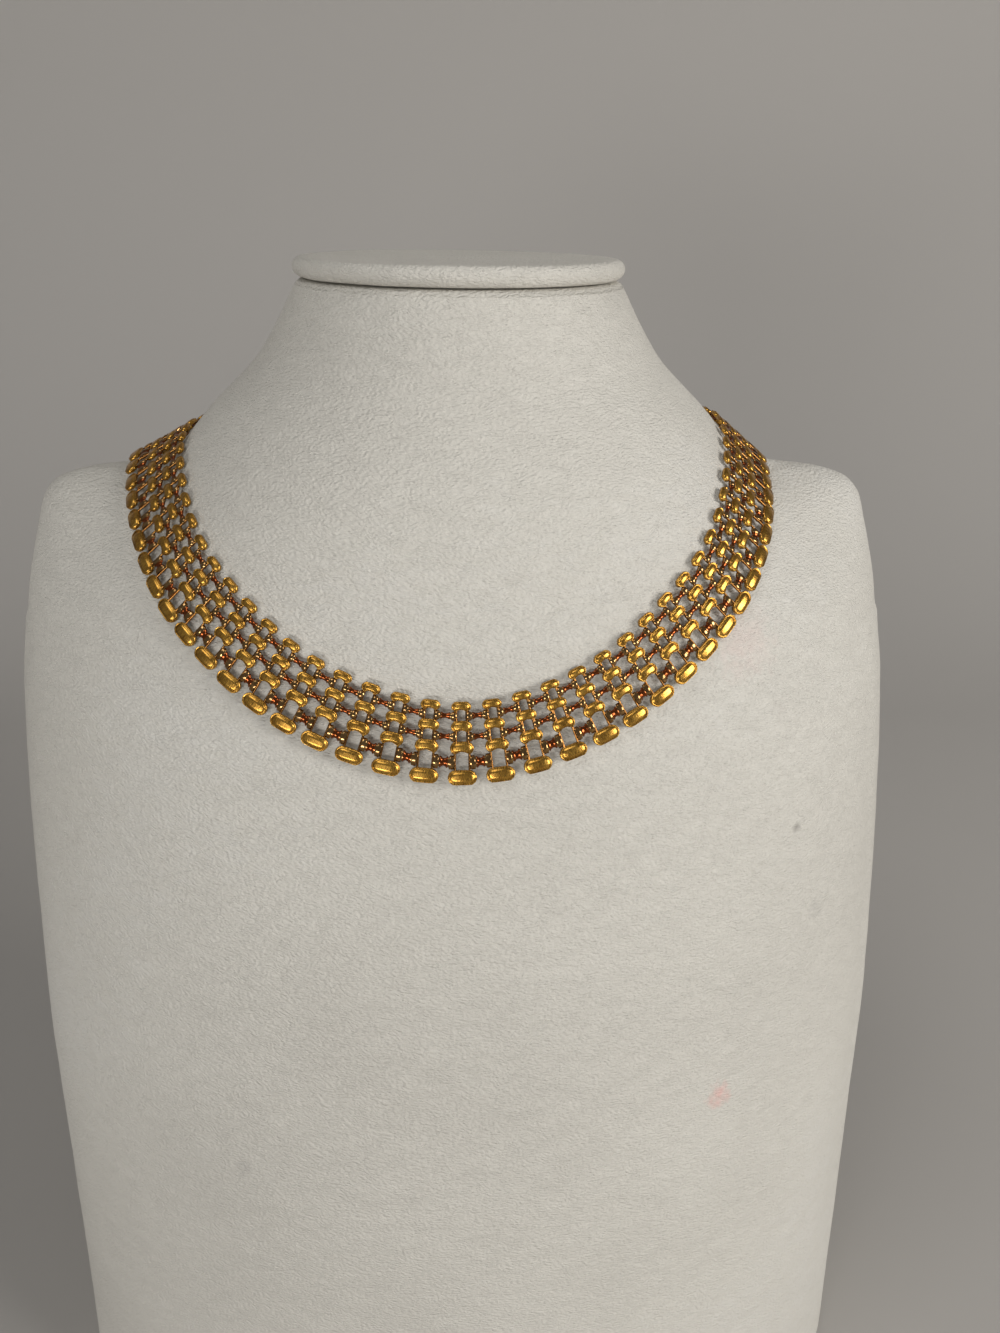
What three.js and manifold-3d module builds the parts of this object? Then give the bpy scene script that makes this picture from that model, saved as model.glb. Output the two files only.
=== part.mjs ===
// A collar necklace of graduated ladder links, shown on a covered neck bust with a disc cap.
// Millimetres, +Z up. The bust's front faces -Y and the origin is the middle of its flat base.
import * as THREE from 'three';
import { mergeVertices } from 'three/addons/utils/BufferGeometryUtils.js';
import Module from 'manifold-3d';

const wasm = await Module();
wasm.setup();

// ---- Bust: driving dimensions ----

// The body and the neck are two stacks of oval sections round one leaning centre line.
// front and back are the distances from the centre line to the surface.
const bodySections = [
  { z: 0, halfWidth: 121, front: 66, back: 59 },
  { z: 60, halfWidth: 121, front: 72, back: 60 },
  { z: 120, halfWidth: 120, front: 75.5, back: 60 },
  { z: 183, halfWidth: 115.5, front: 67.5, back: 55 },
  { z: 223, halfWidth: 113, front: 59.5, back: 57 },
  { z: 235, halfWidth: 111.5, front: 53, back: 57 },
  { z: 248, halfWidth: 110, front: 45.5, back: 54 },
  { z: 261, halfWidth: 108, front: 31.5, back: 44 },
  { z: 267, halfWidth: 107, front: 25, back: 35 },
  { z: 271, halfWidth: 104, front: 18.5, back: 24 },
  { z: 274, halfWidth: 95, front: 11, back: 12 },
  { z: 276, halfWidth: 62, front: 8, back: 8 },
];
const neckSections = [
  { z: 0, halfWidth: 30, front: 20, back: 20 },
  { z: 120, halfWidth: 85, front: 50, back: 48 },
  { z: 183, halfWidth: 98, front: 65, back: 58 },
  { z: 243, halfWidth: 94, front: 62, back: 56 },
  { z: 259, halfWidth: 88.5, front: 60, back: 53 },
  { z: 269, halfWidth: 82, front: 58.5, back: 48 },
  { z: 279, halfWidth: 74, front: 55.5, back: 43.5 },
  { z: 290, halfWidth: 64.5, front: 50.5, back: 41 },
  { z: 303, halfWidth: 51.5, front: 45, back: 40.5 },
  { z: 320.7, halfWidth: 41, front: 41, back: 40.5 },
];
const centreLineY = -17.6;     // the centre line's place at the base
const centreLean = 0.163;     // how far it moves back for each millimetre of height
const blendPower = 7;         // how sharply the neck runs into the shoulders
const neckTopZ = 320.7;
const bustRingHeights = [
  0, 30, 60, 90, 120, 150, 176, 200, 216, 228, 236, 243, 249, 255, 260, 264, 267.5, 270.5, 273, 275,
  277.5, 281, 285, 289.5, 294.5, 300, 306, 313, neckTopZ,
];
const bustSegments = 56;

// ---- Cap ----

const capRadius = 42;
const capThickness = 4.6;
const capGap = 0.4;
const capEdgeSteps = 6;
const capSegments = 40;

// ---- Collar: driving dimensions ----

const linkCount = 64;         // places round the whole loop, the clasp included
const separateLinks = 20;     // links on each side of the front one that are pieces of their own
const firstBackRun = 6;       // links in the joined run beyond them, on each side
const bandSpan = 15.6;        // from the inner plates' middles to the outer plates' middles
const linkThickness = 1.1;
const linkStandoff = 0.6;     // from the bust's surface to an inner plate's back
const backClearance = 0.5;    // the least gap between any link's back and the bust
const liftStep = 0.05;
const tiltLimit = Math.PI / 3; // a link's fall onto the bust is sought within this, by halving
const tiltSteps = 14;
const loopFrontZ = 243;       // height of the inner row at y = loopFrontY on the bust
const loopFrontY = -40;
const loopRise = 42;          // the loop climbs this far and then runs level behind the neck
const loopRiseDepth = 67.5;   // and it does so over this depth
const loopTilt = 0.021;       // the right-hand side sits a little higher
const loopDip = 0.85;         // the front hangs a little lower still
const loopDipWidth = 20;
const loopShift = -1.9;       // the front link sits a little to the left of the middle
const fanShare = 4;           // neighbours on each side that a link shares its direction with
const connectorGap = 0.4;     // between a connector's end and the next link
const joinDepth = 0.6;        // where links are one solid, how far it runs into the next link

// One link, from the inner plate outwards. v is the plate's middle along the link.
const plates = [
  { v: 0, width: 4.2, height: 2 },
  { v: 4.4, width: 4.5, height: 2.4 },
  { v: 9.1, width: 5, height: 2.7 },
  { v: 15.6, width: 6.3, height: 3.1 },
];
// The three bays between the plates: half the window, half the whole ladder, and the connector.
const bays = [
  { window: 0.85, rail: 1.45, connector: 1.1 },
  { window: 0.95, rail: 1.75, connector: 1.1 },
  { window: 1.35, rail: 1.9, connector: 1.9 },
];
const plateCorner = 0.7;
const windowArch = 0.4;       // how far a window cuts into the plate on its inner side
const windowFoot = 0.1;       // and into the plate on its outer side

const claspWidth = 6;

// ---- Materials ----

const leatherette = { color: 0xd8d4cc, roughness: 0.55, metalness: 0 };
const goldTone = { color: 0xc59a3f, roughness: 0.28, metalness: 1 };

// ---- Solids ----

function toSolid(geometry) {
  geometry.deleteAttribute('normal');
  geometry.deleteAttribute('uv');
  const merged = mergeVertices(geometry, 1e-4);
  return new wasm.Manifold(new wasm.Mesh({
    numProp: 3,
    vertProperties: new Float32Array(merged.attributes.position.array),
    triVerts: new Uint32Array(merged.index.array),
  }));
}

function toGeometry(solid) {
  const mesh = solid.getMesh();
  const geometry = new THREE.BufferGeometry();
  geometry.setAttribute('position', new THREE.BufferAttribute(mesh.vertProperties, 3));
  geometry.setIndex(new THREE.BufferAttribute(mesh.triVerts, 1));
  return geometry;
}

function named(name, geometry, finish) {
  const mesh = new THREE.Mesh(geometry, new THREE.MeshStandardMaterial(finish));
  mesh.name = name;
  return mesh;
}

// ---- The bust's surface ----

// Slopes for a smooth curve through the rows that never overshoots them.
function rowSlopes(rows, column) {
  const chord = (i) => (rows[i + 1][column] - rows[i][column]) / (rows[i + 1].z - rows[i].z);
  return rows.map((row, i) => {
    if (i === 0) return chord(0);
    if (i === rows.length - 1) return chord(i - 1);
    const before = chord(i - 1);
    const after = chord(i);
    return before * after > 0 ? (2 * before * after) / (before + after) : 0;
  });
}

function sectionCurve(rows, column) {
  const slopes = rowSlopes(rows, column);
  const last = rows.length - 1;
  return (z) => {
    if (z <= rows[0].z) return rows[0][column];
    if (z >= rows[last].z) return rows[last][column];
    const i = rows.findIndex((row) => row.z > z) - 1;
    const span = rows[i + 1].z - rows[i].z;
    const t = (z - rows[i].z) / span;
    return rows[i][column] * (1 + 2 * t) * (1 - t) ** 2
      + slopes[i] * span * t * (1 - t) ** 2
      + rows[i + 1][column] * t * t * (3 - 2 * t)
      - slopes[i + 1] * span * t * t * (1 - t);
  };
}

function ovalStack(rows) {
  const halfWidth = sectionCurve(rows, 'halfWidth');
  const front = sectionCurve(rows, 'front');
  const back = sectionCurve(rows, 'back');
  return (angle, z) => {
    const depth = Math.sin(angle) < 0 ? front(z) : back(z);
    return 1 / Math.hypot(Math.cos(angle) / halfWidth(z), Math.sin(angle) / depth);
  };
}

const bodyRadius = ovalStack(bodySections);
const neckRadius = ovalStack(neckSections);
const shoulderTopZ = bodySections[bodySections.length - 1].z;

const centreY = (z) => centreLineY + centreLean * z;

// Distance from the centre line to the surface; angle 0 is +X and -90 degrees is the front.
function bustRadius(angle, z) {
  const neck = neckRadius(angle, z);
  if (z > shoulderTopZ) return neck;
  return (bodyRadius(angle, z) ** blendPower + neck ** blendPower) ** (1 / blendPower);
}

function bustPoint(angle, z) {
  const radius = bustRadius(angle, z);
  return new THREE.Vector3(radius * Math.cos(angle), centreY(z) + radius * Math.sin(angle), z);
}

function bustNormal(angle, z) {
  const turn = 0.002;
  const climb = 0.05;
  const around = bustPoint(angle + turn, z).sub(bustPoint(angle - turn, z));
  const upwards = bustPoint(angle, z + climb).sub(bustPoint(angle, z - climb));
  return around.cross(upwards).normalize();
}

function bustBody() {
  const positions = [];
  for (const z of bustRingHeights) {
    for (let i = 0; i < bustSegments; i += 1) {
      positions.push(...bustPoint((i / bustSegments) * 2 * Math.PI, z).toArray());
    }
  }
  const ringCount = bustRingHeights.length;
  positions.push(0, centreY(0), 0, 0, centreY(neckTopZ), neckTopZ);
  const baseMiddle = ringCount * bustSegments;
  const topMiddle = baseMiddle + 1;
  const faces = [];
  for (let i = 0; i < bustSegments; i += 1) {
    const next = (i + 1) % bustSegments;
    for (let ring = 0; ring < ringCount - 1; ring += 1) {
      const low = ring * bustSegments;
      const high = low + bustSegments;
      faces.push(low + i, low + next, high + next, low + i, high + next, high + i);
    }
    const topRing = (ringCount - 1) * bustSegments;
    faces.push(baseMiddle, next, i, topMiddle, topRing + i, topRing + next);
  }
  const geometry = new THREE.BufferGeometry();
  geometry.setAttribute('position', new THREE.Float32BufferAttribute(positions, 3));
  geometry.setIndex(faces);
  return named('bust_body', geometry, leatherette);
}

// A flat disc whose edge is a half round.
function bustCap() {
  const edge = capThickness / 2;
  const profile = [new THREE.Vector2(0, 0)];
  for (let i = 0; i <= capEdgeSteps; i += 1) {
    const angle = -Math.PI / 2 + (i / capEdgeSteps) * Math.PI;
    const x = capRadius - edge + edge * Math.cos(angle);
    profile.push(new THREE.Vector2(x, edge + edge * Math.sin(angle)));
  }
  profile.push(new THREE.Vector2(0, capThickness));
  const lathe = new THREE.LatheGeometry(profile, capSegments);
  lathe.rotateX(Math.PI / 2);
  const cap = named('bust_cap', toGeometry(toSolid(lathe)), leatherette);
  cap.position.set(0, centreY(neckTopZ), neckTopZ + capGap);
  return cap;
}

// ---- The loop that the inner row of plates follows ----

function loopHeight(point) {
  const along = Math.min((point.y - loopFrontY) / loopRiseDepth, 1);
  const dip = loopDip * Math.exp(-((point.x / loopDipWidth) ** 2));
  return loopFrontZ + loopRise * (1 - (1 - along) ** 2) + loopTilt * point.x - dip;
}

// The loop's height is sought between these, by halving.
const loopSearchBelow = 25;
const loopSearchAbove = 60;
const loopSearchSteps = 30;

function loopPoint(angle) {
  let low = loopFrontZ - loopSearchBelow;
  let high = loopFrontZ + loopSearchAbove;
  for (let i = 0; i < loopSearchSteps; i += 1) {
    const middle = (low + high) / 2;
    if (middle < loopHeight(bustPoint(angle, middle))) low = middle;
    else high = middle;
  }
  const place = bustPoint(angle, low);
  const normal = bustNormal(angle, low);
  return { place: place.addScaledVector(normal, linkStandoff), normal };
}

// The loop as points from the back of the neck round the front, with their distances along it.
function traceLoop() {
  const steps = 360;
  const points = [];
  let distance = 0;
  for (let i = 0; i <= steps; i += 1) {
    const angle = (-1.5 + (2 * i) / steps) * Math.PI;
    const point = loopPoint(angle);
    if (i > 0) distance += point.place.distanceTo(points[i - 1].place);
    points.push({ ...point, distance });
  }
  return points;
}

const loop = traceLoop();
const loopLength = loop[loop.length - 1].distance;
const loopFrontDistance = loop[(loop.length - 1) / 2].distance;

function onLoop(distance) {
  const wrapped = (distance + loopLength) % loopLength;
  const i = Math.max(loop.findIndex((point) => point.distance > wrapped), 1);
  const before = loop[i - 1];
  const after = loop[i];
  const t = (wrapped - before.distance) / (after.distance - before.distance);
  return {
    place: before.place.clone().lerp(after.place, t),
    normal: before.normal.clone().lerp(after.normal, t).normalize(),
  };
}

function insideBust(point) {
  const y = point.y - centreY(point.z);
  return Math.hypot(point.x, y) < bustRadius(Math.atan2(y, point.x), point.z);
}

// Points just below a link's back, plate by plate, which are kept out of the bust.
const footprints = plates.map(({ v, width, height }) => (
  [-1, 0, 1].flatMap((side) => (
    [-1, 1].map((end) => new THREE.Vector3((side * width) / 2, -v + (end * height) / 2, -backClearance))
  ))
));

const clearOfBust = (points, frame) => (
  !points.some((point) => insideBust(point.clone().applyMatrix4(frame)))
);

function loopDirections(distance) {
  const along = onLoop(distance + 1).place.sub(onLoop(distance - 1).place).normalize();
  const outwards = along.clone().cross(onLoop(distance).normal).normalize();
  return { along, outwards };
}

// A link turned about its inner plate by an angle above the outward direction.
function tiltedFrame(place, along, outwards, angle) {
  const normal = outwards.clone().cross(along);
  const inwards = outwards.clone().multiplyScalar(-Math.cos(angle));
  inwards.addScaledVector(normal, -Math.sin(angle));
  const frame = new THREE.Matrix4().makeBasis(along, inwards, along.clone().cross(inwards));
  return frame.setPosition(place);
}

// A link's frame: x along the loop, y towards the neck, z away from the bust.
// It shares its outward direction with its neighbours, so that the outer row fans out evenly,
// and falls about its inner plate until it rests on the bust.
function linkFrame(index) {
  const pitch = loopLength / linkCount;
  const distance = loopFrontDistance + loopShift + index * pitch;
  const { place } = onLoop(distance);
  const { along } = loopDirections(distance);
  const outwards = new THREE.Vector3();
  for (let i = -fanShare; i <= fanShare; i += 1) {
    outwards.add(loopDirections(distance + i * pitch).outwards);
  }
  outwards.normalize();
  along.addScaledVector(outwards, -along.dot(outwards)).normalize();
  const outerPlates = footprints.slice(1).flat();
  let clear = tiltLimit;
  let touching = -tiltLimit;
  for (let i = 0; i < tiltSteps; i += 1) {
    const middle = (clear + touching) / 2;
    if (clearOfBust(outerPlates, tiltedFrame(place, along, outwards, middle))) clear = middle;
    else touching = middle;
  }
  const frame = tiltedFrame(place, along, outwards, clear);
  const away = new THREE.Vector3().setFromMatrixColumn(frame, 2);
  while (!clearOfBust(footprints[0], frame)) {
    frame.setPosition(place.addScaledVector(away, liftStep));
  }
  return frame;
}

// ---- Links ----

// The middle and the height of the open bay between two plates.
function bayPlace(bay) {
  const top = plates[bay].v + plates[bay].height / 2;
  const bottom = plates[bay + 1].v - plates[bay + 1].height / 2;
  return { middle: (top + bottom) / 2, height: bottom - top };
}

// How far a bay's connector can reach to the nearest corner of what comes next:
// the next link's waisted rail, or the clasp's straight side.
function connectorReach(frame, nextFrame, bay, beforeClasp) {
  const { rail, connector } = bays[bay];
  const { middle, height } = bayPlace(bay);
  const toFirst = frame.clone().invert().multiply(nextFrame);
  const corners = [];
  for (const end of [-1, 1]) {
    const plate = plates[end < 0 ? bay + 1 : bay];
    const railEdge = rail + ((plate.width / 2 - rail) * connector) / height;
    const edge = beforeClasp ? claspWidth / 2 : railEdge;
    for (const z of [0, linkThickness]) {
      const y = -middle + (end * connector) / 2;
      corners.push(new THREE.Vector3(-edge, y, z).applyMatrix4(toFirst).x);
    }
  }
  return Math.min(...corners);
}

// One side of the ladder's outline, going down past each plate and bay.
function ladderSide(side, reaches) {
  const points = [];
  plates.forEach((plate, row) => {
    const top = -plate.v + plate.height / 2;
    const bottom = -plate.v - plate.height / 2;
    const half = plate.width / 2;
    if (row === plates.length - 1) {
      points.push([side * (half - plateCorner), top]);
      points.push([side * half, top - plateCorner]);
      points.push([side * half, bottom + plateCorner]);
      points.push([side * (half - plateCorner), bottom]);
      return;
    }
    points.push([side * half, top], [side * half, bottom]);
    const bay = bays[row];
    const middle = -bayPlace(row).middle;
    if (reaches) {
      points.push([side * bay.rail, middle + bay.connector / 2]);
      points.push([reaches[row], middle + bay.connector / 2]);
      points.push([reaches[row], middle - bay.connector / 2]);
      points.push([side * bay.rail, middle - bay.connector / 2]);
    } else {
      points.push([side * bay.rail, middle]);
    }
  });
  return points;
}

function ladder(reaches) {
  const outline = [...ladderSide(-1, null), ...ladderSide(1, reaches).reverse()];
  const shape = new THREE.Shape(outline.map(([x, y]) => new THREE.Vector2(x, y)));
  bays.forEach((bay, row) => {
    const top = -plates[row].v - plates[row].height / 2 + windowArch;
    const bottom = -plates[row + 1].v + plates[row + 1].height / 2 - windowFoot;
    const corners = [[-1, top], [1, top], [1, bottom], [-1, bottom]];
    const hole = corners.map(([side, y]) => new THREE.Vector2(side * bay.window, y));
    shape.holes.push(new THREE.Path(hole));
  });
  return new THREE.ExtrudeGeometry(shape, { depth: linkThickness, bevelEnabled: false });
}

// A link with its three connectors, which stop short of the next link or run into it.
function linkGeometry(index, frame, nextFrame, joined) {
  const slack = joined ? -joinDepth : connectorGap;
  const beforeClasp = index === linkCount / 2 - 1;
  const reaches = bays.map((bay, row) => connectorReach(frame, nextFrame, row, beforeClasp) - slack);
  return ladder(reaches);
}

function place(mesh, frame) {
  mesh.position.setFromMatrixPosition(frame);
  mesh.quaternion.setFromRotationMatrix(frame);
  return mesh;
}

function separateLink(index) {
  const frame = linkFrame(index);
  const geometry = linkGeometry(index, frame, linkFrame(index + 1), false);
  const side = index < 0 ? 'left' : 'right';
  const number = String(Math.abs(index)).padStart(2, '0');
  const name = index === 0 ? 'link_front' : `link_${side}_${number}`;
  return place(named(name, toGeometry(toSolid(geometry)), goldTone), frame);
}

// A run of links joined by their connectors into one solid.
function joinedLinks(name, first, last) {
  let run = null;
  for (let index = first; index <= last; index += 1) {
    const frame = linkFrame(index);
    const geometry = linkGeometry(index, frame, linkFrame(index + 1), index < last);
    geometry.applyMatrix4(frame);
    const link = toSolid(geometry);
    run = run ? run.add(link) : link;
  }
  return named(name, toGeometry(run), goldTone);
}

// One plain plate that closes the loop at the back.
function clasp() {
  const top = plates[0].height / 2;
  const last = plates[plates.length - 1];
  const length = top + last.v + last.height / 2;
  const geometry = new THREE.BoxGeometry(claspWidth, length, linkThickness);
  geometry.translate(0, top - length / 2, linkThickness / 2);
  return place(named('clasp', toGeometry(toSolid(geometry)), goldTone), linkFrame(linkCount / 2));
}

// ---- Assembly ----

const object = new THREE.Group();
object.add(bustBody(), bustCap());
for (let index = -separateLinks; index <= separateLinks; index += 1) {
  object.add(separateLink(index));
}
// Beyond the separate links, each side is joined into two runs.
const firstRunEnd = separateLinks + firstBackRun;
const lastLink = linkCount / 2 - 1;
object.add(
  joinedLinks('back_links_right_1', separateLinks + 1, firstRunEnd),
  joinedLinks('back_links_right_2', firstRunEnd + 1, lastLink),
  joinedLinks('back_links_left_1', -firstRunEnd, -separateLinks - 1),
  joinedLinks('back_links_left_2', -lastLink, -firstRunEnd - 1),
);
object.add(clasp());

export default object;
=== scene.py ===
import math

import bmesh
import bpy
from mathutils import Matrix, Vector, noise


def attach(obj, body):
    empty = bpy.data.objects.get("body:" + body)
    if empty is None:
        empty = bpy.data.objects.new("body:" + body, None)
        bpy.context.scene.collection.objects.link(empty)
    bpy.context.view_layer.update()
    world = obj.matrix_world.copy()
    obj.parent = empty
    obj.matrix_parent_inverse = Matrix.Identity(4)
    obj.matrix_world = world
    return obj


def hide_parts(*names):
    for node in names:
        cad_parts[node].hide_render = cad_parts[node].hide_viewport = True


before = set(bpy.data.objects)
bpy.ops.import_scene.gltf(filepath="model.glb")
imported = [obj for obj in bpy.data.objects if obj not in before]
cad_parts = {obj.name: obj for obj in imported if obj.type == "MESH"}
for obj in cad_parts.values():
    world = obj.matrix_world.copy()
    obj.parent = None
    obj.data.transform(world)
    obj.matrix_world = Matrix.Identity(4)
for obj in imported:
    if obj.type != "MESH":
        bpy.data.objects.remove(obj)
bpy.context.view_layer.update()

MM = 0.001  # the object's sizes are given in millimetres and built in metres


# ---- Camera ----

CAMERA_PLACE = (-6.8, -238.4, 338.4)
CAMERA_TURN = (65.069, -0.798, -3.53)  # degrees
CAMERA_LENS = 27.0
CAMERA_SENSOR = 36.0


def make_camera():
    data = bpy.data.cameras.new("camera")
    data.lens = CAMERA_LENS
    data.sensor_fit = "AUTO"
    data.sensor_width = CAMERA_SENSOR
    data.clip_start = 0.01
    camera = bpy.data.objects.new("camera", data)
    camera.location = [value * MM for value in CAMERA_PLACE]
    camera.rotation_euler = [math.radians(angle) for angle in CAMERA_TURN]
    bpy.context.scene.collection.objects.link(camera)
    bpy.context.scene.camera = camera


# ---- The bust's surface: two stacks of ovals round one leaning centre line ----
# Each row is height, half width, and depth in front of and behind the centre line.

BODY_ROWS = [
    (0, 121, 66, 59), (60, 121, 72, 60), (120, 120, 75.5, 60), (183, 115.5, 67.5, 55),
    (223, 113, 59.5, 57), (235, 111.5, 53, 57), (248, 110, 45.5, 54), (261, 108, 31.5, 44),
    (267, 107, 25, 35), (271, 104, 18.5, 24), (274, 95, 11, 12), (276, 62, 8, 8),
]
NECK_ROWS = [
    (0, 30, 20, 20), (120, 85, 50, 48), (183, 98, 65, 58), (243, 94, 62, 56),
    (259, 88.5, 60, 53), (269, 82, 58.5, 48), (279, 74, 55.5, 43.5), (290, 64.5, 50.5, 41),
    (303, 51.5, 45, 40.5), (320.7, 41, 41, 40.5),
]
CENTRE_AT_BASE = -17.6
CENTRE_LEAN = 0.163
BLEND_POWER = 7
NECK_TOP = 320.7
SHOULDER_TOP = (275.0, 277.5)  # between these the surface runs straight


def row_slopes(rows, column):
    chords = [
        (above[column] - below[column]) / (above[0] - below[0])
        for below, above in zip(rows, rows[1:])
    ]
    inner = [
        2 * a * b / (a + b) if a * b > 0 else 0.0 for a, b in zip(chords, chords[1:])
    ]
    return [chords[0], *inner, chords[-1]]


def section_curve(rows, column):
    slopes = row_slopes(rows, column)

    def value(z):
        if z <= rows[0][0]:
            return rows[0][column]
        if z >= rows[-1][0]:
            return rows[-1][column]
        i = next(n for n, row in enumerate(rows) if row[0] > z) - 1
        span = rows[i + 1][0] - rows[i][0]
        t = (z - rows[i][0]) / span
        return (
            rows[i][column] * (1 + 2 * t) * (1 - t) ** 2
            + slopes[i] * span * t * (1 - t) ** 2
            + rows[i + 1][column] * t * t * (3 - 2 * t)
            - slopes[i + 1] * span * t * t * (1 - t)
        )

    return value


def oval_stack(rows):
    half_width, front, back = (section_curve(rows, column) for column in (1, 2, 3))

    def radius(angle, z):
        depth = front(z) if math.sin(angle) < 0 else back(z)
        return 1 / math.hypot(math.cos(angle) / half_width(z), math.sin(angle) / depth)

    return radius


body_radius = oval_stack(BODY_ROWS)
neck_radius = oval_stack(NECK_ROWS)


def centre_y(z):
    return CENTRE_AT_BASE + CENTRE_LEAN * z


def bust_radius(angle, z):
    neck = neck_radius(angle, z)
    if z > BODY_ROWS[-1][0]:
        return neck
    return (body_radius(angle, z) ** BLEND_POWER + neck**BLEND_POWER) ** (1 / BLEND_POWER)


def bust_point(angle, z):
    radius = bust_radius(angle, z)
    return Vector((radius * math.cos(angle), centre_y(z) + radius * math.sin(angle), z))


NORMAL_REACH = (0.002, 0.05)  # how far round and up the surface is sampled for its normal


def bust_normal(angle, z):
    turn, climb = NORMAL_REACH
    around = bust_point(angle + turn, z) - bust_point(angle - turn, z)
    upwards = bust_point(angle, z + climb) - bust_point(angle, z - climb)
    return around.cross(upwards).normalized()


def inside_bust(point):
    y = point.y - centre_y(point.z)
    return math.hypot(point.x, y) < bust_radius(math.atan2(y, point.x), point.z)


# ---- The collar's loop and the frame of each link on it ----

LINK_COUNT = 64
LINK_THICKNESS = 1.1
LINK_STANDOFF = 0.6
BACK_CLEARANCE = 0.5
LIFT_STEP = 0.05
LOOP_FRONT_Z = 243
LOOP_FRONT_Y = -40
LOOP_RISE = 42
LOOP_RISE_DEPTH = 67.5
LOOP_TILT = 0.021
LOOP_DIP = 0.85
LOOP_DIP_WIDTH = 20
LOOP_SHIFT = -1.9
FAN_SHARE = 4
LOOP_STEPS = 360
LOOP_SEARCH = (25, 60)  # the loop's height is sought this far below and above, by halving
LOOP_SEARCH_STEPS = 30
TILT_LIMIT = math.pi / 3  # a link's fall onto the bust is sought within this, by halving
TILT_STEPS = 14
# One link from the inner plate outwards: its middle along the link, its width and height.
PLATES = [(0, 4.2, 2), (4.4, 4.5, 2.4), (9.1, 5, 2.7), (15.6, 6.3, 3.1)]
# The bays between the plates: half the window, half the ladder, the connector's height.
BAYS = [(0.85, 1.45, 2.15), (0.95, 1.75, 2.15), (1.35, 1.9, 3.15)]


def loop_height(point):
    along = min((point.y - LOOP_FRONT_Y) / LOOP_RISE_DEPTH, 1)
    dip = LOOP_DIP * math.exp(-((point.x / LOOP_DIP_WIDTH) ** 2))
    return LOOP_FRONT_Z + LOOP_RISE * (1 - (1 - along) ** 2) + LOOP_TILT * point.x - dip


def loop_point(angle):
    low, high = LOOP_FRONT_Z - LOOP_SEARCH[0], LOOP_FRONT_Z + LOOP_SEARCH[1]
    for _ in range(LOOP_SEARCH_STEPS):
        middle = (low + high) / 2
        if middle < loop_height(bust_point(angle, middle)):
            low = middle
        else:
            high = middle
    normal = bust_normal(angle, low)
    return bust_point(angle, low) + normal * LINK_STANDOFF, normal


def trace_loop():
    points = []
    distance = 0.0
    for i in range(LOOP_STEPS + 1):
        place, normal = loop_point((-1.5 + 2 * i / LOOP_STEPS) * math.pi)
        if points:
            distance += (place - points[-1][1]).length
        points.append((distance, place, normal))
    return points


loop = trace_loop()
loop_length = loop[-1][0]
loop_front = loop[LOOP_STEPS // 2][0]
link_pitch = loop_length / LINK_COUNT


def on_loop(distance):
    wrapped = distance % loop_length
    i = max(next(n for n, point in enumerate(loop) if point[0] > wrapped), 1)
    before, after = loop[i - 1], loop[i]
    t = (wrapped - before[0]) / (after[0] - before[0])
    return before[1].lerp(after[1], t), before[2].lerp(after[2], t).normalized()


def loop_directions(distance):
    along = (on_loop(distance + 1)[0] - on_loop(distance - 1)[0]).normalized()
    return along, along.cross(on_loop(distance)[1]).normalized()


def tilted_frame(place, along, outwards, angle):
    inwards = -math.cos(angle) * outwards - math.sin(angle) * outwards.cross(along)
    turn = Matrix((along, inwards, along.cross(inwards))).transposed()
    return Matrix.Translation(place) @ turn.to_4x4()


FOOTPRINTS = [
    [
        Vector((side * width / 2, -v + end * height / 2, -BACK_CLEARANCE))
        for side in (-1, 0, 1)
        for end in (-1, 1)
    ]
    for v, width, height in PLATES
]


def clear_of_bust(points, link):
    return not any(inside_bust(link @ point) for point in points)


def link_frame(index):
    distance = loop_front + LOOP_SHIFT + index * link_pitch
    place = on_loop(distance)[0]
    along = loop_directions(distance)[0]
    outwards = Vector()
    for i in range(-FAN_SHARE, FAN_SHARE + 1):
        outwards += loop_directions(distance + i * link_pitch)[1]
    outwards.normalize()
    along = (along - outwards * along.dot(outwards)).normalized()
    outer_plates = [point for points in FOOTPRINTS[1:] for point in points]
    clear, touching = TILT_LIMIT, -TILT_LIMIT
    for _ in range(TILT_STEPS):
        middle = (clear + touching) / 2
        if clear_of_bust(outer_plates, tilted_frame(place, along, outwards, middle)):
            clear = middle
        else:
            touching = middle
    link = tilted_frame(place, along, outwards, clear)
    away = link.to_3x3().col[2].normalized()
    while not clear_of_bust(FOOTPRINTS[0], link):
        place = place + away * LIFT_STEP
        link.translation = place
    return link


# Links are numbered both ways from the front one, 0; the last place is the clasp's.
CLASP_PLACE = LINK_COUNT // 2
links = {index: link_frame(index) for index in range(1 - CLASP_PLACE, CLASP_PLACE + 1)}


# ---- Mesh helpers ----


def piece_from(name, mesh, finish=None):
    piece = bpy.data.objects.new(name, mesh)
    bpy.context.scene.collection.objects.link(piece)
    if finish:
        mesh.materials.append(finish)
    return piece


def smooth(mesh):
    mesh.shade_smooth()
    return mesh


# A closed shell from rings of points, each ring going round counter-clockwise seen from above.
def shell_from_rings(name, rings, low_middle, high_middle):
    count = len(rings[0])
    points = [point for ring in rings for point in ring] + [low_middle, high_middle]
    low, high = len(points) - 2, len(points) - 1
    last = (len(rings) - 1) * count
    faces = []
    for i in range(count):
        after = (i + 1) % count
        for ring in range(len(rings) - 1):
            start = ring * count
            faces.append((start + i, start + after, start + count + after, start + count + i))
        faces.append((low, after, i))
        faces.append((high, last + i, last + after))
    mesh = bpy.data.meshes.new(name)
    mesh.from_pydata([[value * MM for value in point] for point in points], [], faces)
    return smooth(mesh)


# ---- Bust cover and cap ----

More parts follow.
